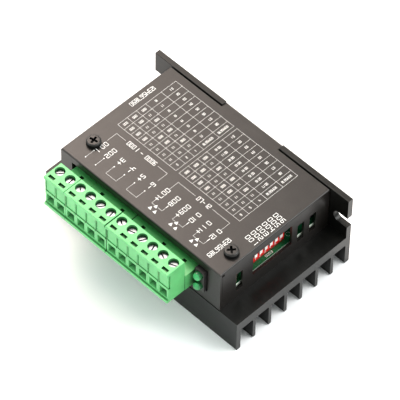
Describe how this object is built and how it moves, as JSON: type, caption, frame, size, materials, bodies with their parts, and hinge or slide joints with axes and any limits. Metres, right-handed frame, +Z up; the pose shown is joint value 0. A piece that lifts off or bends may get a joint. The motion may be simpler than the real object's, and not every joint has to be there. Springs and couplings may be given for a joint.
{
  "type": "stepper driver module",
  "caption": "Open-frame stepper motor driver: finned heatsink with a tall mounting wall, folded cover, pull-off screw terminal plugs, slide switches and status lamps.",
  "frame": {"origin": "bottom centre of the whole module, plugs included, at the level of the fin tips", "axes": "+X along the heatsink towards the switch end, +Y from the terminal side to the tall wall, +Z up away from the fins"},
  "size_m": [0.096, 0.0712, 0.037],
  "materials": {
    "black_anodised": "black anodised, fine brushed grain, satin",
    "black_powder_coat": "fine textured black powder coat with white print",
    "black_oxide_steel": "black oxide, satin",
    "nickel_brass": "nickel plated",
    "zinc_steel": "bright zinc plated",
    "clamp_steel": "plated, satin",
    "green_board": "green solder mask over glass laminate",
    "component_black": "moulded epoxy",
    "thermal_pad": "soft filled silicone",
    "ferrite_grey": "moulded ferrite",
    "capacitor_sleeve": "shrunk sleeve",
    "terminal_green": "moulded green polyamide, semi gloss",
    "tinned_pins": "tin plated",
    "switch_red": "moulded red, semi gloss",
    "lever_white": "moulded white",
    "holder_black": "moulded black nylon",
    "lamp_green": "tinted clear epoxy"
  },
  "bodies": {
    "driver": {"alarm_led": "lamp_green", "board_screws": "zinc_steel", "board_spacers": "nickel_brass", "bulk_capacitors": "capacitor_sleeve", "circuit_board": "green_board", "cover_posts": "nickel_brass", "cover_screws": "black_oxide_steel", "dip_switch_body": "switch_red", "dip_switch_pins": "tinned_pins", "driver_chip": "component_black", "header_2way": "terminal_green", "header_4way": "terminal_green", "header_6way": "terminal_green", "header_pins": "tinned_pins", "heatsink": "black_anodised", "led_holder": "holder_black", "optocouplers": "component_black", "power_inductor": "ferrite_grey", "power_led": "lamp_green", "sense_resistors": "component_black", "surface_mount_parts": "component_black", "thermal_pad": "thermal_pad", "top_cover": "black_powder_coat", "voltage_regulator": "component_black"},
    "plug_2way": {"plug_housing_2way": "terminal_green", "plug_contacts_2way": "tinned_pins"},
    "screw_01": {"terminal_screw_01": "zinc_steel"},
    "clamp_01": {"wire_clamp_01": "clamp_steel"},
    "screw_02": {"terminal_screw_02": "zinc_steel"},
    "clamp_02": {"wire_clamp_02": "clamp_steel"},
    "plug_4way": {"plug_housing_4way": "terminal_green", "plug_contacts_4way": "tinned_pins"},
    "screw_03": {"terminal_screw_03": "zinc_steel"},
    "clamp_03": {"wire_clamp_03": "clamp_steel"},
    "screw_04": {"terminal_screw_04": "zinc_steel"},
    "clamp_04": {"wire_clamp_04": "clamp_steel"},
    "screw_05": {"terminal_screw_05": "zinc_steel"},
    "clamp_05": {"wire_clamp_05": "clamp_steel"},
    "screw_06": {"terminal_screw_06": "zinc_steel"},
    "clamp_06": {"wire_clamp_06": "clamp_steel"},
    "plug_6way": {"plug_housing_6way": "terminal_green", "plug_contacts_6way": "tinned_pins"},
    "screw_07": {"terminal_screw_07": "zinc_steel"},
    "clamp_07": {"wire_clamp_07": "clamp_steel"},
    "screw_08": {"terminal_screw_08": "zinc_steel"},
    "clamp_08": {"wire_clamp_08": "clamp_steel"},
    "screw_09": {"terminal_screw_09": "zinc_steel"},
    "clamp_09": {"wire_clamp_09": "clamp_steel"},
    "screw_10": {"terminal_screw_10": "zinc_steel"},
    "clamp_10": {"wire_clamp_10": "clamp_steel"},
    "screw_11": {"terminal_screw_11": "zinc_steel"},
    "clamp_11": {"wire_clamp_11": "clamp_steel"},
    "screw_12": {"terminal_screw_12": "zinc_steel"},
    "clamp_12": {"wire_clamp_12": "clamp_steel"},
    "lever_1": {"dip_lever_1": "lever_white"},
    "lever_2": {"dip_lever_2": "lever_white"},
    "lever_3": {"dip_lever_3": "lever_white"},
    "lever_4": {"dip_lever_4": "lever_white"},
    "lever_5": {"dip_lever_5": "lever_white"},
    "lever_6": {"dip_lever_6": "lever_white"}
  },
  "joints": [
    {"name": "plug_2way_slide", "type": "slide", "parent": "driver", "child": "plug_2way", "axis": [0, -1, 0], "range_m": [0, 0.012]},
    {"name": "screw_01_turn", "type": "hinge", "parent": "plug_2way", "child": "screw_01", "pos_m": [-0.03108, -0.02998, 0.0345], "axis": [0, 0, -1], "range_deg": [0, 1584.5]},
    {"name": "clamp_01_lift", "type": "slide", "parent": "plug_2way", "child": "clamp_01", "axis": [0, 0, 1], "range_m": [0, 0.0022]},
    {"name": "screw_02_turn", "type": "hinge", "parent": "plug_2way", "child": "screw_02", "pos_m": [-0.026, -0.02998, 0.0345], "axis": [0, 0, -1], "range_deg": [0, 1584.5]},
    {"name": "clamp_02_lift", "type": "slide", "parent": "plug_2way", "child": "clamp_02", "axis": [0, 0, 1], "range_m": [0, 0.0022]},
    {"name": "plug_4way_slide", "type": "slide", "parent": "driver", "child": "plug_4way", "axis": [0, -1, 0], "range_m": [0, 0.012]},
    {"name": "screw_03_turn", "type": "hinge", "parent": "plug_4way", "child": "screw_03", "pos_m": [-0.02082, -0.02998, 0.0345], "axis": [0, 0, -1], "range_deg": [0, 1584.5]},
    {"name": "clamp_03_lift", "type": "slide", "parent": "plug_4way", "child": "clamp_03", "axis": [0, 0, 1], "range_m": [0, 0.0022]},
    {"name": "screw_04_turn", "type": "hinge", "parent": "plug_4way", "child": "screw_04", "pos_m": [-0.01574, -0.02998, 0.0345], "axis": [0, 0, -1], "range_deg": [0, 1584.5]},
    {"name": "clamp_04_lift", "type": "slide", "parent": "plug_4way", "child": "clamp_04", "axis": [0, 0, 1], "range_m": [0, 0.0022]},
    {"name": "screw_05_turn", "type": "hinge", "parent": "plug_4way", "child": "screw_05", "pos_m": [-0.01066, -0.02998, 0.0345], "axis": [0, 0, -1], "range_deg": [0, 1584.5]},
    {"name": "clamp_05_lift", "type": "slide", "parent": "plug_4way", "child": "clamp_05", "axis": [0, 0, 1], "range_m": [0, 0.0022]},
    {"name": "screw_06_turn", "type": "hinge", "parent": "plug_4way", "child": "screw_06", "pos_m": [-0.00558, -0.02998, 0.0345], "axis": [0, 0, -1], "range_deg": [0, 1584.5]},
    {"name": "clamp_06_lift", "type": "slide", "parent": "plug_4way", "child": "clamp_06", "axis": [0, 0, 1], "range_m": [0, 0.0022]},
    {"name": "plug_6way_slide", "type": "slide", "parent": "driver", "child": "plug_6way", "axis": [0, -1, 0], "range_m": [0, 0.012]},
    {"name": "screw_07_turn", "type": "hinge", "parent": "plug_6way", "child": "screw_07", "pos_m": [-0.00014, -0.02998, 0.0345], "axis": [0, 0, -1], "range_deg": [0, 1584.5]},
    {"name": "clamp_07_lift", "type": "slide", "parent": "plug_6way", "child": "clamp_07", "axis": [0, 0, 1], "range_m": [0, 0.0022]},
    {"name": "screw_08_turn", "type": "hinge", "parent": "plug_6way", "child": "screw_08", "pos_m": [0.00494, -0.02998, 0.0345], "axis": [0, 0, -1], "range_deg": [0, 1584.5]},
    {"name": "clamp_08_lift", "type": "slide", "parent": "plug_6way", "child": "clamp_08", "axis": [0, 0, 1], "range_m": [0, 0.0022]},
    {"name": "screw_09_turn", "type": "hinge", "parent": "plug_6way", "child": "screw_09", "pos_m": [0.01002, -0.02998, 0.0345], "axis": [0, 0, -1], "range_deg": [0, 1584.5]},
    {"name": "clamp_09_lift", "type": "slide", "parent": "plug_6way", "child": "clamp_09", "axis": [0, 0, 1], "range_m": [0, 0.0022]},
    {"name": "screw_10_turn", "type": "hinge", "parent": "plug_6way", "child": "screw_10", "pos_m": [0.0151, -0.02998, 0.0345], "axis": [0, 0, -1], "range_deg": [0, 1584.5]},
    {"name": "clamp_10_lift", "type": "slide", "parent": "plug_6way", "child": "clamp_10", "axis": [0, 0, 1], "range_m": [0, 0.0022]},
    {"name": "screw_11_turn", "type": "hinge", "parent": "plug_6way", "child": "screw_11", "pos_m": [0.02018, -0.02998, 0.0345], "axis": [0, 0, -1], "range_deg": [0, 1584.5]},
    {"name": "clamp_11_lift", "type": "slide", "parent": "plug_6way", "child": "clamp_11", "axis": [0, 0, 1], "range_m": [0, 0.0022]},
    {"name": "screw_12_turn", "type": "hinge", "parent": "plug_6way", "child": "screw_12", "pos_m": [0.02526, -0.02998, 0.0345], "axis": [0, 0, -1], "range_deg": [0, 1584.5]},
    {"name": "clamp_12_lift", "type": "slide", "parent": "plug_6way", "child": "clamp_12", "axis": [0, 0, 1], "range_m": [0, 0.0022]},
    {"name": "lever_1_slide", "type": "slide", "parent": "driver", "child": "lever_1", "axis": [0, 0, 1], "range_m": [0, 0.002]},
    {"name": "lever_2_slide", "type": "slide", "parent": "driver", "child": "lever_2", "axis": [0, 0, 1], "range_m": [0, 0.002]},
    {"name": "lever_3_slide", "type": "slide", "parent": "driver", "child": "lever_3", "axis": [0, 0, 1], "range_m": [0, 0.002]},
    {"name": "lever_4_slide", "type": "slide", "parent": "driver", "child": "lever_4", "axis": [0, 0, 1], "range_m": [0, 0.002]},
    {"name": "lever_5_slide", "type": "slide", "parent": "driver", "child": "lever_5", "axis": [0, 0, 1], "range_m": [0, 0.002]},
    {"name": "lever_6_slide", "type": "slide", "parent": "driver", "child": "lever_6", "axis": [0, 0, 1], "range_m": [0, 0.002]}
  ],
  "couplings": [
    {"joint": "screw_01_turn", "follows": "clamp_01_lift", "rad_per_m": 12566},
    {"joint": "screw_02_turn", "follows": "clamp_02_lift", "rad_per_m": 12566},
    {"joint": "screw_03_turn", "follows": "clamp_03_lift", "rad_per_m": 12566},
    {"joint": "screw_04_turn", "follows": "clamp_04_lift", "rad_per_m": 12566},
    {"joint": "screw_05_turn", "follows": "clamp_05_lift", "rad_per_m": 12566},
    {"joint": "screw_06_turn", "follows": "clamp_06_lift", "rad_per_m": 12566},
    {"joint": "screw_07_turn", "follows": "clamp_07_lift", "rad_per_m": 12566},
    {"joint": "screw_08_turn", "follows": "clamp_08_lift", "rad_per_m": 12566},
    {"joint": "screw_09_turn", "follows": "clamp_09_lift", "rad_per_m": 12566},
    {"joint": "screw_10_turn", "follows": "clamp_10_lift", "rad_per_m": 12566},
    {"joint": "screw_11_turn", "follows": "clamp_11_lift", "rad_per_m": 12566},
    {"joint": "screw_12_turn", "follows": "clamp_12_lift", "rad_per_m": 12566}
  ]
}
